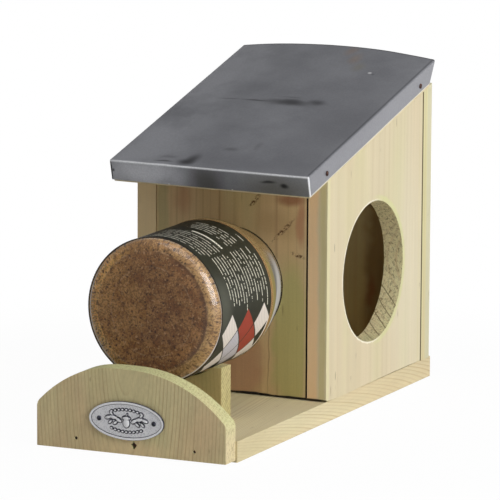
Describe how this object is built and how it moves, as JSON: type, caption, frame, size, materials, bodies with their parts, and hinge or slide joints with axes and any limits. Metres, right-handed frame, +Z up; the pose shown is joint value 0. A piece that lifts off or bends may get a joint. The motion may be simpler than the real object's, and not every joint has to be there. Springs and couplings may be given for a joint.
{
  "type": "squirrel feeder box",
  "caption": "Pine squirrel feeder box with a sloping sheet metal roof and a round side entrance, fed by a glass jar of peanut butter that lies in front with its mouth in the front panel.",
  "frame": {"origin": "centre of the base board's underside, on the surface that the feeder stands on", "axes": "+Z up, +Y from the stop plate in front to the back panel, +X to the right of someone who looks along +Y, the side with the entrance"},
  "size_m": [0.1274, 0.2746, 0.1952],
  "materials": {
    "pine": "planed and bare, with fine grain, knots and saw marks",
    "zinc_sheet": "dull zinc grey sheet with smudges, brighter at the folds",
    "nail_steel": "dark, a little rusty",
    "plaque_metal": "satin grey with a stippled field",
    "jar_glass": "clear and glossy",
    "peanut_butter": "soft tan paste with brown flecks",
    "label_paper": "dark olive paper with a plain printed pattern, no text"
  },
  "bodies": {
    "box": {"back_panel": "pine", "back_panel_nail_left_lower": "nail_steel", "back_panel_nail_left_upper": "nail_steel", "back_panel_nail_right_lower": "nail_steel", "back_panel_nail_right_upper": "nail_steel", "base_board": "pine", "base_nail_left_back_panel": "nail_steel", "base_nail_left_front": "nail_steel", "base_nail_left_rear": "nail_steel", "base_nail_right_back_panel": "nail_steel", "base_nail_right_front": "nail_steel", "base_nail_right_rear": "nail_steel", "front_panel": "pine", "front_stop_plate": "pine", "jar_rest": "pine", "jar_rest_nail_left": "nail_steel", "jar_rest_nail_right": "nail_steel", "left_panel_nail_lower": "nail_steel", "left_panel_nail_upper": "nail_steel", "left_side_panel": "pine", "plaque": "plaque_metal", "plaque_pin_left": "nail_steel", "plaque_pin_right": "nail_steel", "right_panel_nail_lower": "nail_steel", "right_panel_nail_upper": "nail_steel", "right_side_panel": "pine", "roof_board": "pine", "roof_board_nail_left_front": "nail_steel", "roof_board_nail_left_rear": "nail_steel", "roof_board_nail_right_front": "nail_steel", "roof_board_nail_right_rear": "nail_steel", "roof_nail_left_front": "nail_steel", "roof_nail_left_rear": "nail_steel", "roof_nail_right_front": "nail_steel", "roof_nail_right_rear": "nail_steel", "roof_sheet": "zinc_sheet", "stop_plate_nail_1": "nail_steel", "stop_plate_nail_2": "nail_steel", "stop_plate_nail_3": "nail_steel"},
    "jar": {"jar_glass": "jar_glass", "peanut_butter": "peanut_butter", "jar_label": "label_paper"}
  },
  "joints": [
    {"name": "jar_slide", "type": "slide", "parent": "box", "child": "jar", "axis": [0, -1, 0], "range_m": [0, 0.0097]}
  ]
}
